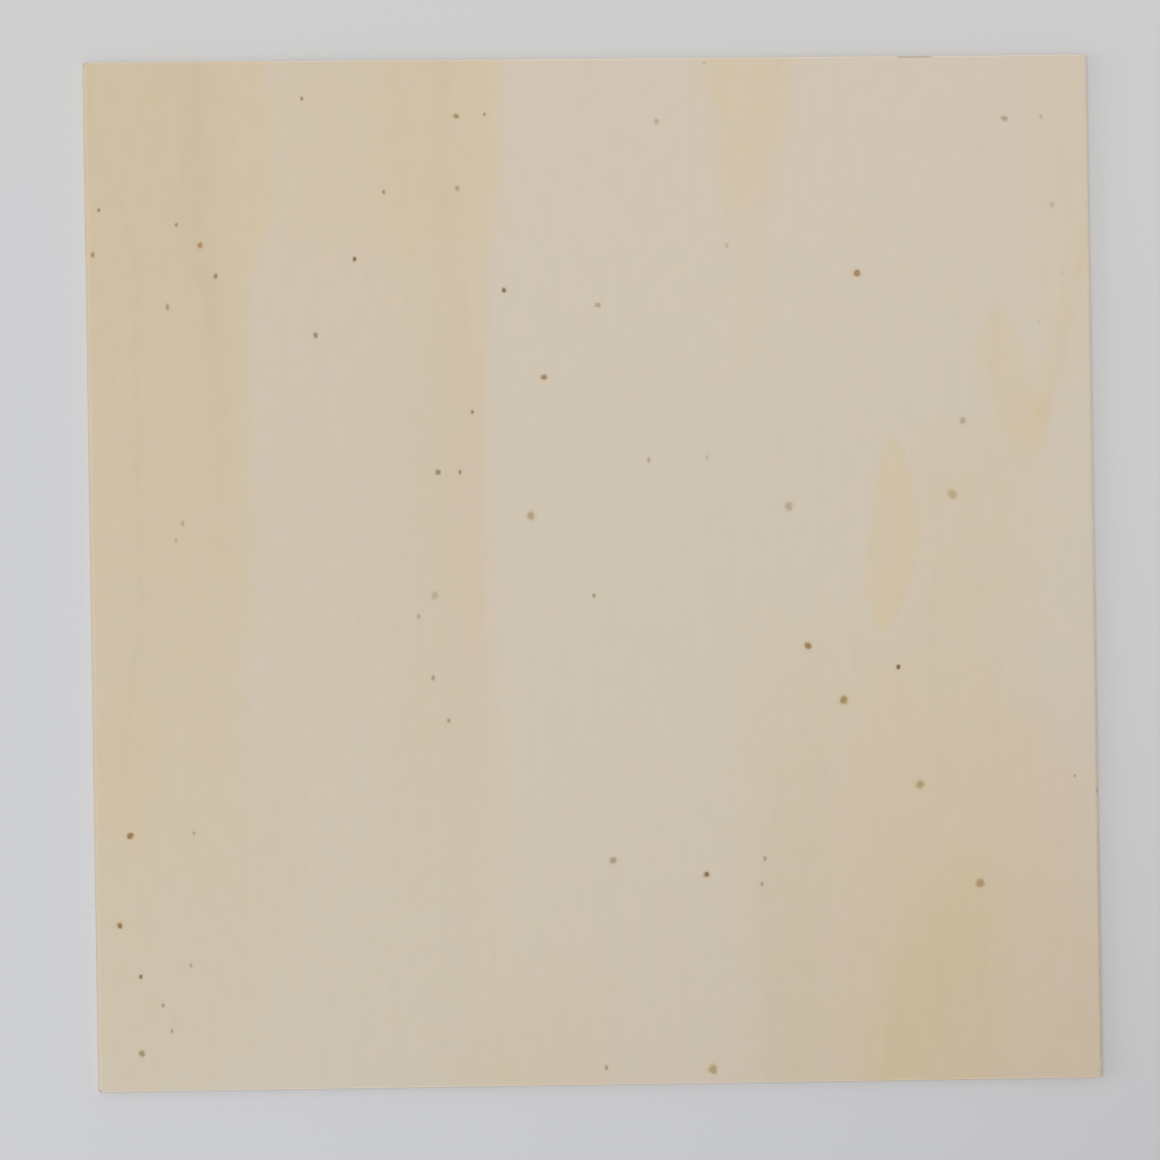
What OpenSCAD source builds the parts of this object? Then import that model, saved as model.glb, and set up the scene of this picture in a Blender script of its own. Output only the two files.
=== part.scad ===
// Plywood sheet: one flat square of thin pressed plywood with sanded arrises and
// slightly rounded corners. It lies face up: X runs across the grain of the face,
// Y runs along it, and the origin is at the middle of the back.

/* [Sheet] */
// Width of the sheet, across the grain of the face
sheet_w = 300; // [60:1:1220]
// Length of the sheet, along the grain of the face
sheet_l = 300; // [60:1:2440]
// Thickness of the sheet, through all its plies
sheet_t = 3; // [2:0.1:25]

/* [Edges] */
// Radius of the sanded arris, around the face and around the back
arris_r = 0.3; // [0.1:0.05:0.7]
// Radius of the four corners, seen from above
corner_r = 1; // [0.8:0.1:20]

/* [Hidden] */
// Length of the straight run between two corners, across and along the grain
straight_w = sheet_w - 2 * corner_r;
straight_l = sheet_l - 2 * corner_r;
// Quarter turn swept by each corner
corner_turn = 90;
// Bearings of the four edges and of the corner at the end of each, from +X
bearings = [0, 90, 180, 270];
// Segments in a full turn of the curved edges
$fn = 48;

// Cross-section of the rim, from the start of the corner's radius out to the edge,
// with a quarter-round arris above and below
module rim_section() {
    square([corner_r - arris_r, sheet_t]);
    translate([0, arris_r])
        square([corner_r, sheet_t - 2 * arris_r]);
    for (z = [arris_r, sheet_t - arris_r])
        translate([corner_r - arris_r, z])
            circle(r = arris_r);
}

// Straight rim along +Y, facing +X
module straight_rim(run) {
    translate([0, run / 2, 0])
        rotate([90, 0, 0])
            linear_extrude(height = run)
                rim_section();
}

// Rim swept around a corner, from facing +X to facing +Y
module corner_rim() {
    rotate_extrude(angle = corner_turn)
        rim_section();
}

// Flat middle of the sheet, inside its rim
module field() {
    translate([-straight_w / 2, -straight_l / 2, 0])
        cube([straight_w, straight_l, sheet_t]);
}

module plywood_sheet() {
    color([0.82, 0.75, 0.66])
        union() {
            field();
            for (bearing = bearings) {
                // An edge that faces +X or -X runs along the grain
                along_grain = bearing % 180 == 0;
                reach = (along_grain ? straight_w : straight_l) / 2;
                run = along_grain ? straight_l : straight_w;
                rotate([0, 0, bearing]) {
                    translate([reach, 0, 0])
                        straight_rim(run);
                    translate([reach, run / 2, 0])
                        corner_rim();
                }
            }
        }
}

plywood_sheet();
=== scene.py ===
import math

import bmesh
import bpy
from mathutils import Matrix, Vector


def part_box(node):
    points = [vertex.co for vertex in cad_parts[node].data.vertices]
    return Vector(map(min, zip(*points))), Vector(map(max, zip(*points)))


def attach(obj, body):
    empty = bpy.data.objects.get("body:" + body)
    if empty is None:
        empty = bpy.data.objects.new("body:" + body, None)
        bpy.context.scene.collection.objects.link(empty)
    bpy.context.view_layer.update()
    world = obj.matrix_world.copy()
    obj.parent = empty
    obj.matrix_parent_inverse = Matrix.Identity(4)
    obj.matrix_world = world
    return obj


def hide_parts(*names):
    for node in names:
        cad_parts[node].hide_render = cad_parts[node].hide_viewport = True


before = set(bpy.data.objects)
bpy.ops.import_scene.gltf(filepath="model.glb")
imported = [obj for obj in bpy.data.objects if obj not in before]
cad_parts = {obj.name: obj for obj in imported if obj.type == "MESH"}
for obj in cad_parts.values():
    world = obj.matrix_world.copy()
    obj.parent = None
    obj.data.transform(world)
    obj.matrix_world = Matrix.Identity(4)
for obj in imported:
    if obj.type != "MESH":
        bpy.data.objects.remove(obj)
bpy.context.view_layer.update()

# The sheet, from the frame. X runs across the grain of the face and Y along it.
MM = 0.001
LOW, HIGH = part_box("plywood_sheet")
CENTRE = (LOW + HIGH) / 2
WIDTH, LENGTH, THICK = HIGH - LOW
WIDTH_MM, LENGTH_MM, THICK_MM = (HIGH - LOW) / MM
ARRIS_R = 0.3 * MM
CORNER_R = 1.0 * MM
VENEER_MM = 0.8

# The mesh
FACE_CELLS = 100
CORNER_STEPS = 5
ARRIS_STEPS = 4
RIM_LOOP = 0.5 * MM
GLUE_HALF = 0.06 * MM
GLUE_DEPTH = 0.04 * MM
SPLINTER_STEPS = 24
SPLINTER_RINGS = 12
SMOOTH_ANGLE = math.radians(35)
TINY = 0.001 * MM
LEVEL_FROM = 0.999
UPRIGHT_TO = 0.001

# The map for the bake, in shares of its side: the face at the lower left, the back beside it,
# and the four edges as strips above them
MAP_RIM = 0.005
FACE_SHARE = 0.70
BACK_SHARE = 0.27
BACK_LEFT = 0.72
STRIP_LOW = 0.72
STRIP_SHARE = 0.06
STRIP_PITCH = 1.1
STRIP_RUN = 0.99
STRIP_HIGH = THICK + 4 * ARRIS_R

# Damage to the arris of the face, in millimetres: its middle, and half its length along X, Y and Z
CHIP = ((98.3, 150.0, 3.0), (6.0, 0.45, 0.7))
NICK = ((150.0, -66.0, 3.0), (0.5, 0.7, 0.6))

# Knots on the face: x and y in millimetres from its middle, radius, stretch along the grain,
# colour, how strong it is from 0 to 1, and how far its heart is lighter than its rim
PIN, BROWN, GOLDEN, RUST, GREY, OLIVE = "pin", "brown", "golden", "rust", "grey", "olive"
FACE_KNOTS = [
    (-85.5, 139.0, 0.55, 1.3, PIN, 0.58, 0), (-31.0, 134.0, 0.48, 1.2, PIN, 0.52, 0),
    (-61.5, 111.5, 0.50, 1.4, PIN, 0.60, 0), (-146.5, 107.0, 0.52, 1.3, PIN, 0.58, 0),
    (-123.5, 102.5, 0.52, 1.3, PIN, 0.50, 0), (-148.5, 94.0, 0.62, 1.4, BROWN, 0.58, 0),
    (-70.5, 92.0, 0.64, 1.3, PIN, 0.80, 0), (-126.5, 78.5, 0.65, 1.5, PIN, 0.46, 0),
    (-36.0, 47.0, 0.50, 1.4, PIN, 0.64, 0), (-40.0, 29.5, 0.55, 1.4, PIN, 0.56, 0),
    (-123.0, 15.5, 0.60, 1.6, PIN, 0.27, 0), (-125.0, 10.5, 0.60, 1.4, PIN, 0.24, 0),
    (-0.5, -7.0, 0.60, 1.3, PIN, 0.50, 0), (16.5, 32.5, 0.60, 1.7, PIN, 0.34, 0),
    (34.0, 33.0, 0.60, 1.5, PIN, 0.19, 0), (-53.0, -12.5, 0.58, 1.4, PIN, 0.36, 0),
    (-49.0, -30.5, 0.62, 1.5, PIN, 0.43, 0), (-44.5, -43.0, 0.60, 1.3, PIN, 0.42, 0),
    (-121.0, -75.0, 0.52, 1.4, PIN, 0.30, 0), (-122.5, -113.5, 0.52, 1.5, PIN, 0.36, 0),
    (-131.0, -125.0, 0.65, 1.1, PIN, 0.42, 0), (-128.5, -132.5, 0.46, 1.6, PIN, 0.40, 0),
    (1.0, -145.0, 0.60, 1.4, PIN, 0.47, 0), (90.5, -29.0, 0.72, 1.1, PIN, 0.84, 0),
    (49.5, -84.5, 0.58, 1.4, PIN, 0.42, 0), (48.5, -92.0, 0.52, 1.5, PIN, 0.40, 0),
    (143.0, -61.5, 0.42, 1.0, PIN, 0.40, 0), (35.0, 148.5, 0.45, 1.1, PIN, 0.26, 0),
    (136.0, 132.0, 0.58, 1.4, PIN, 0.22, 0), (139.0, 106.0, 0.75, 1.4, PIN, 0.19, 0),
    (41.0, 95.0, 0.62, 1.4, PIN, 0.21, 0), (141.5, 86.0, 0.60, 1.2, PIN, 0.10, 0),
    (134.5, 71.5, 0.50, 1.6, PIN, 0.12, 0),
    (-26.0, 82.5, 0.75, 1.1, PIN, 0.76, 0), (-137.5, -116.5, 0.58, 1.3, PIN, 0.76, 0),
    (-39.5, 133.5, 0.95, 0.8, GOLDEN, 0.70, 0), (-39.5, 112.5, 0.78, 1.1, GREY, 0.50, 0),
    (-116.5, 96.5, 0.86, 1.1, RUST, 0.74, 0.2), (-112.0, 87.5, 0.72, 1.2, BROWN, 0.56, 0),
    (-82.5, 70.0, 0.84, 1.1, BROWN, 0.60, 0), (-14.5, 57.0, 0.94, 1.0, GOLDEN, 0.76, 0),
    (-46.5, 29.5, 0.92, 1.0, BROWN, 0.62, 0), (80.0, 86.5, 1.20, 0.9, BROWN, 0.85, 0.65),
    (125.0, 131.5, 1.10, 0.8, BROWN, 0.42, 0), (63.5, -22.5, 1.20, 1.0, GOLDEN, 0.80, 0.1),
    (-140.0, -75.5, 1.10, 0.9, GOLDEN, 0.90, 0.3), (-143.5, -101.5, 0.90, 1.0, BROWN, 0.95, 0.45),
    (-137.5, -139.0, 1.05, 1.0, GREY, 0.62, 0.1), (32.0, -89.0, 0.90, 1.0, BROWN, 0.88, 0.35),
    (114.0, -92.5, 1.35, 1.0, GOLDEN, 0.56, 0),
    (2.0, 78.0, 0.90, 1.0, GREY, 0.46, 0), (20.5, 131.5, 0.75, 1.1, GREY, 0.40, 0),
    (-19.0, 16.5, 1.30, 1.0, OLIVE, 0.56, 0), (-48.0, -6.5, 1.20, 1.0, BROWN, 0.26, 0),
    (111.0, 43.0, 1.10, 1.0, BROWN, 0.34, 0), (107.5, 21.5, 1.65, 1.0, OLIVE, 0.40, 0),
    (58.5, 18.5, 1.30, 1.1, GREY, 0.38, 0), (74.0, -38.5, 1.40, 0.9, OLIVE, 0.78, 0),
    (96.5, -63.5, 1.40, 1.0, OLIVE, 0.58, 0), (4.0, -84.5, 1.20, 0.9, GREY, 0.53, 0),
    (33.0, -146.0, 1.50, 1.0, OLIVE, 0.60, 0),
]
# A few pin knots on the back, which the photo doesn't show
BACK_KNOTS = [
    (-96.0, 84.0, 0.6, 1.5, PIN, 0.5, 0), (-31.0, 21.0, 0.9, 1.0, BROWN, 0.6, 0),
    (44.0, 118.0, 0.6, 1.6, PIN, 0.6, 0), (71.0, -52.0, 0.6, 1.5, PIN, 0.4, 0),
    (-58.0, -104.0, 1.0, 1.0, GOLDEN, 0.7, 0), (122.0, 37.0, 0.6, 1.5, PIN, 0.4, 0),
    (8.0, -133.0, 0.6, 1.6, PIN, 0.5, 0), (104.0, -118.0, 1.3, 1.0, OLIVE, 0.5, 0),
]
# A knot's colour, the halo round it and its heart fade out from a full to an outer radius,
# in shares of the knot's own radius
KNOT_FULL = 0.4
KNOT_SPREAD = 1.25
HALO_FULL = 0.8
HALO_SPREAD = 2.2
HALO_STRENGTH = 0.4
HEART_FULL = 0.1
HEART_SPREAD = 0.7
KNOT_UNEVEN = 0.9
HEART_UNEVEN = 1.2
UNEVEN_PITCH = (1.2, 1.2, 1.2)
KNOT_REACH = 1.1 * HALO_SPREAD

# Camera: far off with a long lens, leaning to the left as the photo's narrowed outline does
CAMERA_DISTANCE = 10.0
CAMERA_LENS = 1061.8
CAMERA_AIM = Vector((-4.6, -2.4, 3.0)) * MM
LEAN_LEFT = math.radians(12.5)
LEAN_NEAR = math.radians(1.1)
CAMERA_ROLL = math.radians(-0.9)

# Lamps. A share is how far a lamp alone would light a white surface that faces it towards full white.
SPOT_HEIGHT = 8.0
SPOT_AIM = (-0.64, 0.97, 0)
SPOT_CONE = math.radians(24.1)
SPOT_BLEND = 0.51
SPOT_RADIUS = 0.1
SPOT_SHARE = 0.354
DAYLIGHT_LEAN = math.radians(23)
DAYLIGHT_SPREAD = math.radians(5)
DAYLIGHT_SHARE = 0.09
WINDOW_PLACE = (-2, 0, 0.85)
WINDOW_SIZE = 0.8
WINDOW_SHARE = 0.16
CARD_PLACE = (-1.2, 0, 0.025)
CARD_LONG = 1.0
CARD_HIGH = 0.04
CARD_SHARE = 0.27
ROOM_SHARE = 0.475

FLOOR_SIZE = 6.0
FLOOR_GAP = 0.02 * MM


def srgb(red, green, blue):
    """A colour as it reads in a picture, 0 to 255, as the linear colour that a socket takes."""
    parts = [part / 255 for part in (red, green, blue)]
    linear = [p / 12.92 if p <= 0.04045 else ((p + 0.055) / 1.055) ** 2.4 for p in parts]
    return (*linear, 1.0)


HEARTWOOD = srgb(208, 197, 179)
PINK_WOOD = srgb(211, 195, 179)
SAPWOOD = srgb(210, 192, 160)
KNOT_COLOURS = {
    PIN: srgb(76, 52, 24), BROWN: srgb(94, 66, 30), GOLDEN: srgb(130, 96, 38),
    RUST: srgb(160, 92, 56), GREY: srgb(118, 96, 62), OLIVE: srgb(142, 122, 52)}
KNOT_HEART = srgb(196, 150, 112)
KNOT_HALO = srgb(204, 177, 126)
EDGE_LONG = srgb(222, 210, 188)
EDGE_LONG_DARK = srgb(213, 199, 174)
EDGE_END = srgb(218, 203, 177)
EDGE_END_DARK = srgb(204, 187, 159)
GLUE_BROWN = srgb(188, 167, 135)
# Painted shade along the right arris
RIGHT_ARRIS_SHADE = srgb(166, 151, 129)
# Painted shade in the chip and the nick
DAMAGE_SHADE = srgb(104, 92, 76)
FLOOR_GREY = srgb(208, 208, 208)
FLOOR_WINDOW_TINT = srgb(207, 208, 212)

# Finish of the sanded veneers
VENEER_ROUGH = 0.62
FIBRE_GLOSS = 0.1
FIBRE_PITCH = (0.5, 22, 10)
FIBRE_RELIEF = 0.3
RELIEF_STRENGTH = 0.25
RELIEF_DEPTH = 0.1 * MM
VENEER_SHINE = 0.25
FACE_TONE = 1.004
BACK_TONE = 1.03
# Painted light on the arris of the face across the grain, where it turns away from the lamps, and
# painted shade on its left side
ARRIS_PAINTED_LIGHT = 0.36
ARRIS_PAINTED_SHADE = 0.07
# Painted shade in the chip and the nick: how dark it is, and the share of their size where it is full
DAMAGE_SHADE_STRENGTH = 0.4
DAMAGE_SHADE_FULL = 0.7

# Finish of the sawn edges, with painted light near the back that falls to painted shade near the face,
# and of the floor
EDGE_TONE = 1.07
EDGE_PAINTED_LIGHT_FALL = 0.14
EDGE_ROUGH = 0.75
EDGE_SHINE = 0.2
GLUE_STRENGTH = 0.75
FLOOR_ROUGH = 0.9
FLOOR_SHINE = 0.1


class Wire:
    """A socket in a material's nodes that takes part in sums as a number does."""

    def __init__(self, tree, socket):
        self.tree = tree
        self.socket = socket

    def node(self, kind, settings=None, values=None, out=0):
        """Adds any node: its settings first, then the values or links of its sockets."""
        made = self.tree.nodes.new(kind)
        for name, setting in (settings or {}).items():
            if name == "points":
                shape_curve(made.mapping, setting)
            else:
                setattr(made, name, setting)
        for key, value in (values or {}).items():
            if isinstance(value, Wire):
                self.tree.links.new(value.socket, made.inputs[key])
            else:
                made.inputs[key].default_value = value
        return Wire(self.tree, made.outputs[out])

    def math(self, operation, *terms):
        return self.node("ShaderNodeMath", {"operation": operation}, dict(enumerate(terms)))

    def __add__(self, other):
        return self.math("ADD", self, other)

    def __radd__(self, other):
        return self.math("ADD", other, self)

    def __sub__(self, other):
        return self.math("SUBTRACT", self, other)

    def __rsub__(self, other):
        return self.math("SUBTRACT", other, self)

    def __mul__(self, other):
        return self.math("MULTIPLY", self, other)

    def __rmul__(self, other):
        return self.math("MULTIPLY", other, self)

    def __abs__(self):
        return self.math("ABSOLUTE", self)


def shape_curve(mapping, points):
    """Gives a curve node its points, each a place along it and a height, both 0 to 1."""
    mapping.extend = "HORIZONTAL"
    curve = mapping.curves[0]
    while len(curve.points) < len(points):
        curve.points.new(0.5, 0.5)
    for point, place in zip(curve.points, points):
        point.location = place
        point.handle_type = "AUTO_CLAMPED"
    mapping.update()


def step(value, low, high, top=1.0):
    """Rises smoothly from 0 at low to top at high, or falls if high is the lower of the two."""
    return value.node("ShaderNodeMapRange", {"interpolation_type": "SMOOTHSTEP"},
                      {"Value": value, "From Min": low, "From Max": high, "To Max": top})


def mix(amount, under, over):
    """One colour over another."""
    return amount.node("ShaderNodeMix", {"data_type": "RGBA"}, {0: amount, 6: under, 7: over}, out=2)


def scaled(colour, factor):
    """A colour made darker or lighter all through."""
    return factor.node("ShaderNodeVectorMath", {"operation": "SCALE"}, {0: colour, "Scale": factor})


def axis(place, name):
    """One of a place's X, Y and Z."""
    return place.node("ShaderNodeSeparateXYZ", None, {0: place}, out=name)


def noise(place, pitch, detail=2.0, out="Fac"):
    """Noise from 0 to 1 with its own pitch, in millimetres, along X, Y and Z."""
    squeezed = place.node("ShaderNodeVectorMath", {"operation": "DIVIDE"}, {0: place, 1: pitch})
    values = {"Vector": squeezed, "Scale": 1.0, "Detail": detail}
    return place.node("ShaderNodeTexNoise", None, values, out=out)


def own(place, name, out="Vector"):
    """What the board's faces carry under a name."""
    return place.node("ShaderNodeAttribute", {"attribute_name": name}, None, out=out)


def knotted(place, wood):
    """The wood with its knots, each uneven in its own way, and how deep in a knot a place is."""
    # Each face of the board carries the knot that is over it
    middle = own(place, "knot_middle")
    squeeze = own(place, "knot_squeeze")
    strength = own(place, "knot_strength")
    off = place.node("ShaderNodeVectorMath", {"operation": "SUBTRACT"}, {0: place, 1: middle})
    off = place.node("ShaderNodeVectorMath", {"operation": "MULTIPLY"}, {0: off, 1: squeeze})
    grown = place.node("ShaderNodeVectorMath", {"operation": "ADD"}, {0: off, 1: middle})
    uneven = noise(grown, UNEVEN_PITCH, 1.0, "Color")
    away = place.node("ShaderNodeVectorMath", {"operation": "LENGTH"}, {0: off}, out="Value")
    rim = away + (axis(uneven, "X") - 0.5) * KNOT_UNEVEN
    core = away + (axis(uneven, "Y") - 0.5) * HEART_UNEVEN
    depth = step(rim, KNOT_SPREAD, KNOT_FULL) * axis(strength, "X")
    heart = step(core, HEART_SPREAD, HEART_FULL) * axis(strength, "Y")
    halo = step(rim, HALO_SPREAD, HALO_FULL, HALO_STRENGTH) * axis(strength, "X")
    wood = mix(halo, wood, KNOT_HALO)
    wood = mix(depth, wood, own(place, "knot_colour", "Color"))
    return mix(heart, wood, KNOT_HEART), depth


class Veneer:
    """Places on a veneer in millimetres, and the bands and streaks of its figure."""

    def __init__(self, place):
        wander = noise(place, (9, 40, 30)) - 0.5
        ragged = noise(place, (1.4, 18, 30), 1.0) - 0.5
        along = axis(place, "Y") + wander * 18 + ragged * 12
        self.across = axis(place, "X") + wander * 7 + ragged * 3
        self.run = along.math("MULTIPLY_ADD", along, 1 / LENGTH_MM, 0.5)

    def share(self, points):
        """A share from 0 to 1 that changes along the grain, from points given as y and share."""
        places = [(y / LENGTH_MM + 0.5, share) for y, share in points]
        return self.run.node("ShaderNodeFloatCurve", {"points": places}, {"Value": self.run})

    def line(self, points):
        """Where a line along the grain lies across it, from points given as y and x, or one x."""
        if not isinstance(points, list):
            return points
        share = self.share([(y, x / WIDTH_MM + 0.5) for y, x in points])
        return share.math("MULTIPLY_ADD", share, WIDTH_MM, -WIDTH_MM / 2)

    def band(self, soft, left, right, shares):
        """A stretch between two sides, soft at each, whose share changes along the grain."""
        mask = self.share(shares)
        if left is not None:
            mask = mask * step(self.across - self.line(left), -soft[0], soft[0])
        if right is not None:
            mask = mask * step(self.across - self.line(right), soft[1], -soft[1])
        return mask

    def streak(self, depth, half_width, points, shares):
        """A soft line along the grain that takes depth off the colour at its middle."""
        return self.share(shares) * step(abs(self.across - self.line(points)), half_width, 0, depth)


def new_material(name):
    """A material with one shader, and the place on the sheet in millimetres."""
    material = bpy.data.materials.new(name)
    material.use_nodes = True
    tree = material.node_tree
    shader = tree.nodes["Principled BSDF"]
    start = Wire(tree, None)
    place = start.node("ShaderNodeTexCoord", None, None, out="Object")
    place = start.node("ShaderNodeVectorMath", {"operation": "SCALE"}, {0: place, "Scale": 1 / MM})
    return material, shader, place


def connect(shader, **wires):
    """Feeds the shader's sockets."""
    for name, wire in wires.items():
        wire.tree.links.new(wire.socket, shader.inputs[name.replace("_", " ").title()])


def bump(height, strength, distance):
    """Fine relief for a shader's normal."""
    values = {"Height": height, "Strength": strength, "Distance": distance}
    return height.node("ShaderNodeBump", None, values)


def sapwood_share(veneer):
    """How far the face is yellow sapwood, from 0 to 1, as the photo shows it."""
    left_band = veneer.band((0, 4.5), None, [
        (-60, -108), (-20, -103), (0, -102), (60, -103), (84, -102), (96, -98), (110, -94),
        (150, -94)], [
        (-90, 0), (-60, 0.2), (-45, 0.4), (-20, 0.52), (0, 0.62), (20, 0.66), (60, 0.72),
        (90, 0.79), (150, 0.81)])
    left_foot = veneer.band((0, 16), None, [(-150, -108), (-60, -92), (-20, -96)], [
        (-150, 0.1), (-120, 0.27), (-100, 0.28), (-85, 0.36), (-60, 0.3), (-40, 0.15),
        (-20, 0.06), (10, 0)])
    left_strip = veneer.band((0, 4), None, -134, [
        (-120, 0.05), (-85, 0.12), (-60, 0.2), (-45, 0.1), (-30, 0)])
    between_bands = veneer.band((5, 8), [(84, -99), (98, -95), (110, -91), (150, -91)], -56, [
        (-150, 0.05), (-60, 0.12), (0, 0.14), (55, 0.13), (75, 0.17), (90, 0.28), (110, 0.5),
        (150, 0.52)])
    second_halo = veneer.band((6, 5), -61, -48, [
        (-150, 0.05), (-95, 0.08), (-70, 0.18), (-52, 0.24), (0, 0.2), (60, 0.22), (82, 0.3),
        (95, 0.44), (150, 0.44)])
    second_band = veneer.band((5, 3.4), -50, [
        (-150, -27), (-60, -28), (0, -31), (40, -32), (85, -31), (105, -28), (150, -26)], [
        (-150, 0.15), (-105, 0.1), (-85, 0.14), (-65, 0.25), (-48, 0.34), (-20, 0.34), (0, 0.45),
        (20, 0.4), (70, 0.5), (90, 0.52), (105, 0.66), (150, 0.68)])
    near_blotch = veneer.band((8, 10), -36, 2, [(-150, 0.3), (-132, 0.22), (-110, 0.08), (-90, 0)])

    top_streak = veneer.band((4, 4), [(60, 42), (90, 42), (110, 40), (130, 37), (150, 34)], [
        (60, 50), (100, 53), (115, 55), (130, 59), (150, 61)], [
        (40, 0), (60, 0.1), (90, 0.18), (105, 0.32), (120, 0.56), (150, 0.58)])
    tongue = veneer.band((1.6, 1.6), [
        (-26, 88), (-20, 84.5), (-10, 82.5), (0, 81.5), (10, 82.5), (20, 83.5), (30, 85),
        (36, 87.5), (42, 92)], [
        (-26, 82), (-20, 85.5), (-14, 90), (-8, 93), (0, 95), (10, 96), (20, 96), (30, 95),
        (36, 93), (42, 87)], [
        (-26, 0.56), (0, 0.6), (42, 0.62)])
    flame = veneer.band((2.5, 2.5), [
        (28, 133), (33, 128), (38, 124), (45, 120.5), (55, 118), (65, 117), (72, 118), (80, 126)], [
        (28, 127), (33, 133), (38, 136.5), (44, 137), (50, 134), (55, 131), (65, 129),
        (72, 127.5), (80, 118)], [
        (28, 0.3), (50, 0.54), (80, 0.48)])
    flame_branch = veneer.band((2.5, 2.5), [
        (40, 131), (50, 133), (60, 136), (73, 139), (84, 142), (95, 145), (107, 149.5)], [
        (40, 136), (50, 139), (60, 141), (73, 144.5), (84, 148), (95, 152)], [
        (38, 0), (50, 0.38), (65, 0.42), (107, 0.25)])
    right_strip = veneer.band((6, 0), 132, None, [
        (40, 0), (60, 0.1), (90, 0.16), (120, 0.2), (150, 0.14)])
    right_patch = veneer.band((6, 12), 96, 132, [
        (-40, 0), (-20, 0.14), (0, 0.36), (24, 0.34), (48, 0)])

    low_right = veneer.band((12, 12), 45, [
        (-150, 172), (-120, 162), (-90, 146), (-60, 142), (-40, 131), (-15, 116)], [
        (-150, 0.46), (-100, 0.42), (-60, 0.38), (-35, 0.3), (-12, 0.1), (0, 0)])
    low_right_middle = veneer.band((8, 8), 78, 124, [(-150, 0.2), (-60, 0.2), (-20, 0.08), (0, 0)])
    low_right_core = veneer.band((7, 5), [
        (-150, 82), (-140, 84), (-115, 90), (-100, 95), (-88, 100), (-80, 106)], [
        (-150, 116), (-130, 118), (-115, 118), (-95, 119), (-86, 115), (-80, 108)], [
        (-150, 0.22), (-125, 0.3), (-110, 0.36), (-95, 0.3), (-78, 0)])
    low_right_leg = veneer.band((5, 5), [(-150, 80), (-110, 88)], [(-150, 96), (-110, 104)], [
        (-150, 0.2), (-130, 0.18), (-105, 0)])

    return (left_band + left_foot + left_strip + between_bands + second_halo + second_band
            + near_blotch + top_streak + tongue + flame + flame_branch + right_strip + right_patch
            + low_right + low_right_middle + low_right_core + low_right_leg)


def pink_share(veneer):
    """How far the face is pinkish wood, from 0 to 1."""
    between_bands = veneer.band((8, 6), -100, -56, [
        (-100, 0), (-60, 0.15), (-30, 0.35), (0, 0.5), (90, 0.5), (115, 0.3), (150, 0.2)])
    beside_second = veneer.band((4, 1.6), -43, -30, [
        (-150, 0.3), (-60, 0.25), (-20, 0.7), (60, 0.8), (95, 0.4), (110, 0.1), (150, 0)])
    middle = veneer.band((3, 12), -30, 70, [
        (-150, 0.42), (-100, 0.22), (-60, 0.1), (0, 0), (50, 0.05), (90, 0.25), (115, 0.5), (150, 0.5)])
    right = veneer.band((12, 0), 70, None, [
        (-150, 1), (-60, 0.8), (-40, 0.45), (-10, 0.2), (30, 0.15), (80, 0.25), (115, 0.45), (150, 0.5)])
    near_right = veneer.band((8, 0), 118, None, [(-150, 0.4), (-120, 0.6), (-105, 0)])
    return between_bands + beside_second + middle + right + near_right


def face_streaks(veneer):
    """How much the darker streaks of the face take off its colour."""
    left_third = veneer.band((0, 8), None, -36, [
        (-150, 0.019), (0, 0.025), (60, 0.019), (100, 0.009), (150, 0.009)])
    left_band = veneer.band((0, 5), None, -108, [
        (-150, 0.004), (0, 0.006), (60, 0.011), (100, 0.022), (150, 0.022)])
    second_band = veneer.streak(0.012, 14, -40, [(-150, 0.9), (40, 0.9), (90, 0.3), (150, 0.4)])
    left_stripe = veneer.band((4, 4), [
        (150, -121), (100, -121), (80, -116), (40, -115), (-30, -114)], [
        (150, -114), (100, -114), (80, -109), (40, -109), (-30, -108)], [
        (-40, 0), (20, 0.008), (60, 0.020), (100, 0.028), (150, 0.028)])
    left_sweep = veneer.streak(0.020, 2.4, [
        (150, -149), (140, -148), (120, -145), (108, -141), (95, -136), (0, -136), (-40, -140),
        (-70, -144)], [
        (-72, 0), (-50, 0.8), (150, 1)])
    second_stripe = veneer.band((3, 2.5), [
        (150, -46), (110, -46), (90, -43), (60, -40), (0, -38), (-100, -36)], [
        (150, -41), (110, -41), (90, -38), (60, -35), (0, -33), (-100, -31)], [
        (-70, 0), (-20, 0.010), (20, 0.016), (150, 0.016)])
    top_streak = veneer.streak(0.016, 2.5, [(150, 57), (118, 51)], [(100, 0), (120, 1)])
    right_sweep = veneer.streak(0.010, 3, [
        (28, 117), (15, 113), (5, 106), (-10, 101), (-85, 100.5)], [
        (-90, 0), (-60, 1), (20, 1), (32, 0)])
    low_right_side = veneer.band((1.5, 9), 49, 70, [(-150, 0.014), (-90, 0.012), (-50, 0)])
    left_foot = veneer.streak(0.012, 3, -105, [(-128, 0), (-110, 1), (-80, 1), (-62, 0)])
    low_right_core = veneer.streak(0.014, 4, [(-150, 104), (-96, 102)], [
        (-150, 1), (-110, 1), (-92, 0)])
    low_right_leg = veneer.streak(0.012, 5, [(-150, 87), (-112, 90)], [
        (-150, 1), (-125, 0.8), (-108, 0)])
    low_right_rim = veneer.streak(0.010, 3, [(-150, 116), (-100, 114)], [
        (-150, 0.6), (-120, 1), (-98, 0)])
    flame_side = veneer.streak(0.012, 3, [(24, 131), (45, 124), (75, 120)], [
        (24, 0), (36, 1), (70, 1), (80, 0)])
    flame_branch = veneer.streak(0.012, 2.5, [(45, 136), (80, 146), (107, 151)], [
        (42, 0), (52, 1), (90, 0.8), (107, 0)])
    return (left_third + left_band + second_band + left_stripe + left_sweep + second_stripe
            + top_streak + right_sweep + low_right_side + left_foot + low_right_core
            + low_right_leg + low_right_rim + flame_side + flame_branch)


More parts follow.
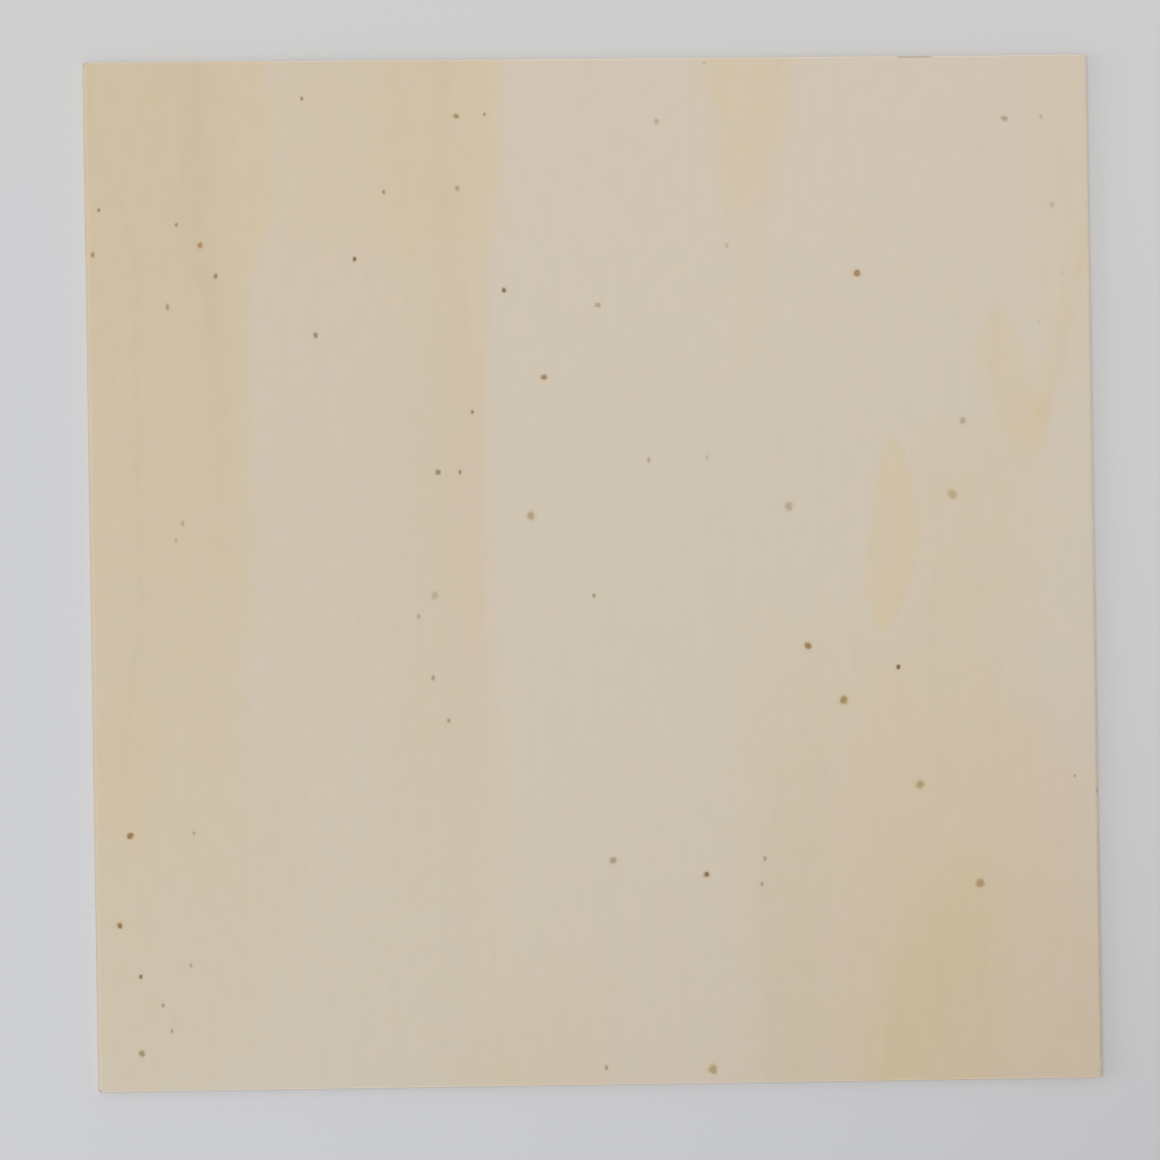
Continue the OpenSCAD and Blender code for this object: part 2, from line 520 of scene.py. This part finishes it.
def finish_veneer(shader, place, wood, fibres):
    """Gives a veneer its colour with the knots, a sanded gloss along the fibres and a fine relief."""
    wood, depth = knotted(place, wood)
    relief = bump(fibres * FIBRE_RELIEF - depth, RELIEF_STRENGTH, RELIEF_DEPTH)
    connect(shader, base_color=wood, roughness=VENEER_ROUGH - fibres * FIBRE_GLOSS, normal=relief)
    shader.inputs["Specular IOR Level"].default_value = VENEER_SHINE


def face_veneer():
    """The sanded face: its figure, fibres and knots, painted shade in its damage, and its arris.

    The arris has painted light across the grain, painted shade at the left and a line of painted shade
    at the right.
    """
    material, shader, place = new_material("sanded_face_veneer")
    x = axis(place, "X")
    y = axis(place, "Y")
    veneer = Veneer(place)
    mottle = noise(place, (4, 7, 30), 3.0, "Color")
    fibres = noise(place, FIBRE_PITCH)
    bands = noise(place, (3, 110, 40), 1.0) - 0.5
    pink = pink_share(veneer) + (axis(mottle, "Y") - 0.5) * 1.4
    wood = mix(pink, HEARTWOOD, PINK_WOOD)
    yellow = sapwood_share(veneer) + (axis(mottle, "X") - 0.5) * 0.5 + bands * 0.15
    wood = mix(yellow, wood, SAPWOOD)
    upward = step(veneer.across, -45, -15, 0.04) * (veneer.run - 0.6)
    cloud = (axis(mottle, "Z") - 0.5) * 0.045 + bands * 0.014
    wood = scaled(wood, FACE_TONE + upward - face_streaks(veneer) - fibres * 0.02 - cloud)

    # Painted light on the arris across the grain, which turns away from the lamps, and painted shade on
    # the left arris
    cross_arris = step(abs(y), LENGTH_MM / 2 - 0.4, LENGTH_MM / 2 - 0.05)
    left_arris = step(x, 0.5 - WIDTH_MM / 2, 0.1 - WIDTH_MM / 2)
    wood = scaled(wood, 1 + cross_arris * ARRIS_PAINTED_LIGHT - left_arris * ARRIS_PAINTED_SHADE)
    # Painted shade along the right arris, deeper towards the near end and uneven along it
    painted_right_shade = veneer.share([(-150, 0.4), (-60, 0.3), (30, 0.17), (110, 0.07), (150, 0.05)])
    painted_right_shade = painted_right_shade * (noise(place, (30, 3, 30)) * 2.4 - 0.2)
    right_arris = step(x, WIDTH_MM / 2 - 1.2, WIDTH_MM / 2 - 0.4)
    wood = mix(painted_right_shade * right_arris, wood, RIGHT_ARRIS_SHADE)
    # Painted shade in the chip and the nick
    for middle, half_size in (CHIP, NICK):
        along_x = step(abs(x - middle[0]), half_size[0], half_size[0] * DAMAGE_SHADE_FULL)
        along_y = step(abs(y - middle[1]), half_size[1], half_size[1] * DAMAGE_SHADE_FULL)
        wood = mix(along_x * along_y * DAMAGE_SHADE_STRENGTH, wood, DAMAGE_SHADE)
    finish_veneer(shader, place, wood, fibres)
    return material


def back_veneer():
    """The back, which the photo doesn't show: the same wood with a plain figure of its own."""
    material, shader, place = new_material("sanded_back_veneer")
    bands = noise(place, (26, 260, 50))
    fibres = noise(place, FIBRE_PITCH)
    wood = mix(step(bands, 0.42, 0.62), HEARTWOOD, SAPWOOD)
    wood = scaled(wood, BACK_TONE - fibres * 0.03 - noise(place, (3, 110, 40), 1.0) * 0.03)
    finish_veneer(shader, place, wood, fibres)
    return material


def sawn_edge():
    """The sawn edges: a cross core between two veneers, with glue lines, and painted light near the back
    that falls to painted shade near the face.
    """
    material, shader, place = new_material("sawn_plywood_edge")
    height = axis(place, "Z")
    off_middle = abs(height - THICK_MM / 2)
    glue_height = THICK_MM / 2 - VENEER_MM
    along_side = step(abs(axis(place, "X")), WIDTH_MM / 2 - 0.8, WIDTH_MM / 2 - 0.4)
    core = step(off_middle, glue_height + 0.05, glue_height - 0.05)
    end_grain = abs(along_side + core - 1)
    fibres = noise(place, (18, 18, 0.16), 3.0)
    pores = noise(place, (0.35, 0.35, 0.5), 2.0)
    long_grain_wood = mix(fibres, EDGE_LONG, EDGE_LONG_DARK)
    end_grain_wood = mix(pores, EDGE_END, EDGE_END_DARK)
    wood = mix(end_grain, long_grain_wood, end_grain_wood)
    glue = step(abs(off_middle - glue_height), 0.14, 0.03, GLUE_STRENGTH)
    wood = mix(glue, wood, GLUE_BROWN)
    # Painted light near the back and painted shade near the face
    wood = scaled(wood, EDGE_TONE - height * (EDGE_PAINTED_LIGHT_FALL / THICK_MM))
    relief = bump(pores * end_grain + fibres * 0.4 - glue, 0.3, 0.12 * MM)
    connect(shader, base_color=wood, normal=relief)
    shader.inputs["Roughness"].default_value = EDGE_ROUGH
    shader.inputs["Specular IOR Level"].default_value = EDGE_SHINE
    return material


def floor_paper():
    """Pale paper with a painted tint of cool window light towards the left and near sides."""
    material, shader, place = new_material("pale_floor")
    # A painted tint of cool window light
    window_tint = step(axis(place, "X") * 0.8 + axis(place, "Y"), 60, -110)
    connect(shader, base_color=mix(window_tint, FLOOR_GREY, FLOOR_WINDOW_TINT))
    shader.inputs["Roughness"].default_value = FLOOR_ROUGH
    shader.inputs["Specular IOR Level"].default_value = FLOOR_SHINE
    return material


def make_active(piece):
    """Selects one piece and nothing else."""
    bpy.ops.object.select_all(action="DESELECT")
    piece.select_set(True)
    bpy.context.view_layer.objects.active = piece


def pick(piece, part, test):
    """Selects the verts, edges or faces of the piece being edited that pass a test, and no others."""
    bpy.ops.mesh.select_mode(type={"verts": "VERT", "edges": "EDGE", "faces": "FACE"}[part])
    bpy.ops.mesh.select_all(action="DESELECT")
    mesh = bmesh.from_edit_mesh(piece.data)
    for item in getattr(mesh, part):
        if test(item):
            item.select_set(True)
    bmesh.update_edit_mesh(piece.data)


def near(value, goal):
    """If two lengths are the same but for rounding."""
    return abs(value - goal) < TINY


def level(face):
    """If a face lies flat."""
    return abs(face.normal.z) > LEVEL_FROM


def upright(face):
    """If a face stands straight up."""
    return abs(face.normal.z) < UPRIGHT_TO


def at_corner(vert):
    """If a vert is at one of the sheet's four corners."""
    return near(abs(vert.co.x), WIDTH / 2) and near(abs(vert.co.y), LENGTH / 2)


def model_board():
    """The sheet as one closed board with round corners, sanded arrises and sunk glue lines."""
    bpy.ops.object.select_all(action="DESELECT")
    bpy.ops.mesh.primitive_grid_add(x_subdivisions=FACE_CELLS, y_subdivisions=FACE_CELLS, size=1,
                                    calc_uvs=False, location=(CENTRE.x, CENTRE.y, LOW.z))
    board = bpy.context.object
    board.name = "sanded_plywood_sheet"
    board.scale = (WIDTH, LENGTH, 1)
    bpy.ops.object.transform_apply(location=True, rotation=True, scale=True)

    bpy.ops.object.mode_set(mode="EDIT")
    bpy.ops.mesh.select_all(action="SELECT")
    bpy.ops.mesh.extrude_region_move(TRANSFORM_OT_translate={"value": (0, 0, THICK)})
    bpy.ops.mesh.select_all(action="SELECT")
    bpy.ops.mesh.normals_make_consistent(inside=False)

    pick(board, "edges", lambda edge: all(at_corner(vert) for vert in edge.verts))
    bpy.ops.mesh.bevel(offset=CORNER_R, segments=CORNER_STEPS, affect="EDGES")
    pick(board, "edges", lambda edge: any(level(face) for face in edge.link_faces)
         and any(upright(face) for face in edge.link_faces))
    bpy.ops.mesh.bevel(offset=ARRIS_R, segments=ARRIS_STEPS, affect="EDGES")
    pick(board, "faces", level)
    bpy.ops.mesh.inset(thickness=RIM_LOOP)

    glue_heights = (LOW.z + VENEER_MM * MM, HIGH.z - VENEER_MM * MM)
    for glue_height in glue_heights:
        for height in (glue_height - GLUE_HALF, glue_height, glue_height + GLUE_HALF):
            pick(board, "faces", upright)
            bpy.ops.mesh.bisect(plane_co=(0, 0, height), plane_no=(0, 0, 1))
    pick(board, "verts", lambda vert: any(near(vert.co.z, height) for height in glue_heights))
    bpy.ops.transform.shrink_fatten(value=-GLUE_DEPTH)
    bpy.ops.object.mode_set(mode="OBJECT")
    return board


def break_arris(board, middle, half_size):
    """Takes a small splinter out of the board's arris."""
    bpy.ops.object.select_all(action="DESELECT")
    bpy.ops.mesh.primitive_uv_sphere_add(segments=SPLINTER_STEPS, ring_count=SPLINTER_RINGS,
                                         radius=MM, location=Vector(middle) * MM)
    splinter = bpy.context.object
    splinter.scale = half_size
    bpy.ops.object.transform_apply(location=True, rotation=True, scale=True)
    make_active(board)
    bpy.ops.object.modifier_add(type="BOOLEAN")
    cut = board.modifiers[-1]
    cut.operation = "DIFFERENCE"
    cut.solver = "EXACT"
    cut.object = splinter
    bpy.ops.object.modifier_apply(modifier=cut.name)
    make_active(splinter)
    bpy.ops.object.delete()


def finish_board(board, face, edge, back):
    """Gives the board its three surfaces and a map that leaves most of its room to the face."""
    for material in (face, edge, back):
        board.data.materials.append(material)
    middle = CENTRE.z
    upright_half = THICK / 2 - ARRIS_R
    layout = board.data.uv_layers.new(name="OFBake")
    for polygon in board.data.polygons:
        surface = 1
        if abs(polygon.center.z - middle) > upright_half or abs(polygon.normal.z) > 0.5:
            surface = 0 if polygon.center.z > middle else 2
        polygon.material_index = surface
        faces_x = abs(polygon.normal.x) > abs(polygon.normal.y)
        strip = (0 if faces_x else 2) + (0 if polygon.normal.x + polygon.normal.y > 0 else 1)
        for loop in polygon.loop_indices:
            point = board.data.vertices[board.data.loops[loop].vertex_index].co
            across = point.x / WIDTH + 0.5
            along = point.y / LENGTH + 0.5
            if surface == 0:
                place = (MAP_RIM + FACE_SHARE * across, MAP_RIM + FACE_SHARE * along)
            elif surface == 2:
                place = (BACK_LEFT + BACK_SHARE * across, MAP_RIM + BACK_SHARE * along)
            else:
                run = along if faces_x else across
                rise = (point.z - middle) / STRIP_HIGH + 0.5
                height = STRIP_PITCH * strip + rise
                place = (MAP_RIM + STRIP_RUN * run, STRIP_LOW + STRIP_SHARE * height)
            layout.data[loop].uv = place
    make_active(board)
    bpy.ops.object.shade_smooth_by_angle(angle=SMOOTH_ANGLE)


def lay_knots(board):
    """Lets each face of the board carry the knot over it: its middle, size, colour and strength."""
    mesh = board.data
    for name in ("knot_middle", "knot_squeeze", "knot_strength"):
        mesh.attributes.new(name, "FLOAT_VECTOR", "FACE")
    mesh.attributes.new("knot_colour", "FLOAT_COLOR", "FACE")
    for polygon in mesh.polygons:
        knots = FACE_KNOTS if polygon.center.z > CENTRE.z else BACK_KNOTS
        middle = polygon.center / MM
        half = max((mesh.vertices[vert].co / MM - middle).length for vert in polygon.vertices)
        gaps = [math.hypot(x - middle.x, y - middle.y) - half - KNOT_REACH * radius * max(stretch, 1)
                for x, y, radius, stretch, colour, strength, heart in knots]
        gap = min(gaps)
        if gap > 0:
            continue
        x, y, radius, stretch, colour, strength, heart = knots[gaps.index(gap)]
        mesh.attributes["knot_middle"].data[polygon.index].vector = (x, y, 0)
        squeeze = (1 / radius, 1 / (radius * stretch), 0)
        mesh.attributes["knot_squeeze"].data[polygon.index].vector = squeeze
        mesh.attributes["knot_strength"].data[polygon.index].vector = (strength, heart, 0)
        mesh.attributes["knot_colour"].data[polygon.index].color = KNOT_COLOURS[colour]


def turn_lamp(lamp, name, aim):
    """Names a lamp and turns it to its aim. Returns the square of its distance from there."""
    lamp.name = name
    way = lamp.location - Vector(aim)
    lamp.rotation_mode = "QUATERNION"
    lamp.rotation_quaternion = way.to_track_quat("Z", "Y")
    lamp.visible_camera = False
    return way.length_squared


board = model_board()
for damage in (CHIP, NICK):
    break_arris(board, *damage)
finish_board(board, face_veneer(), sawn_edge(), back_veneer())
lay_knots(board)
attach(board, "root")
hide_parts("plywood_sheet")

bpy.ops.object.select_all(action="DESELECT")
bpy.ops.mesh.primitive_plane_add(size=FLOOR_SIZE, location=(0, 0, LOW.z - FLOOR_GAP))
floor = bpy.context.object
floor.name = "floor"
floor.data.materials.append(floor_paper())

bpy.ops.object.light_add(type="SPOT", location=(0, 0, SPOT_HEIGHT))
overhead = bpy.context.object
turn_lamp(overhead, "overhead_lamp", SPOT_AIM)
overhead.data.spot_size = SPOT_CONE
overhead.data.spot_blend = SPOT_BLEND
overhead.data.shadow_soft_size = SPOT_RADIUS
overhead.data.energy = SPOT_SHARE * 4 * math.pi ** 2 * SPOT_HEIGHT ** 2

bpy.ops.object.light_add(type="SUN", location=(-math.tan(DAYLIGHT_LEAN), 0, 1))
daylight = bpy.context.object
turn_lamp(daylight, "left_daylight", (0, 0, 0))
daylight.data.angle = DAYLIGHT_SPREAD
daylight.data.energy = DAYLIGHT_SHARE * math.pi

bpy.ops.object.light_add(type="AREA", location=WINDOW_PLACE)
window = bpy.context.object
window_reach = turn_lamp(window, "left_window", (0, 0, 0))
window.data.size = WINDOW_SIZE
window.data.energy = WINDOW_SHARE * math.pi ** 2 * window_reach

bpy.ops.object.light_add(type="AREA", location=CARD_PLACE)
card = bpy.context.object
card_reach = turn_lamp(card, "low_left_card", (LOW.x, 0, 0))
card.data.shape = "RECTANGLE"
card.data.size = CARD_LONG
card.data.size_y = CARD_HIGH
card.data.energy = CARD_SHARE * math.pi ** 2 * card_reach

world = bpy.data.worlds.new("room")
world.use_nodes = True
room_light = world.node_tree.nodes["Background"]
room_light.inputs["Color"].default_value = (1, 1, 1, 1)
room_light.inputs["Strength"].default_value = ROOM_SHARE
bpy.context.scene.world = world

toward = Vector((-math.tan(LEAN_LEFT), -math.tan(LEAN_NEAR), 1)).normalized()
side = Vector((0, 1, 0)).cross(toward).normalized()
turn = Matrix((side, toward.cross(side), toward)).transposed().to_4x4()
bpy.ops.object.camera_add()
camera = bpy.context.object
camera.data.lens = CAMERA_LENS
camera.data.clip_end = 2 * CAMERA_DISTANCE
camera.matrix_world = (Matrix.Translation(CAMERA_AIM + toward * CAMERA_DISTANCE) @ turn
                       @ Matrix.Rotation(CAMERA_ROLL, 4, "Z"))
bpy.context.scene.camera = camera
bpy.context.scene.view_settings.view_transform = "Standard"
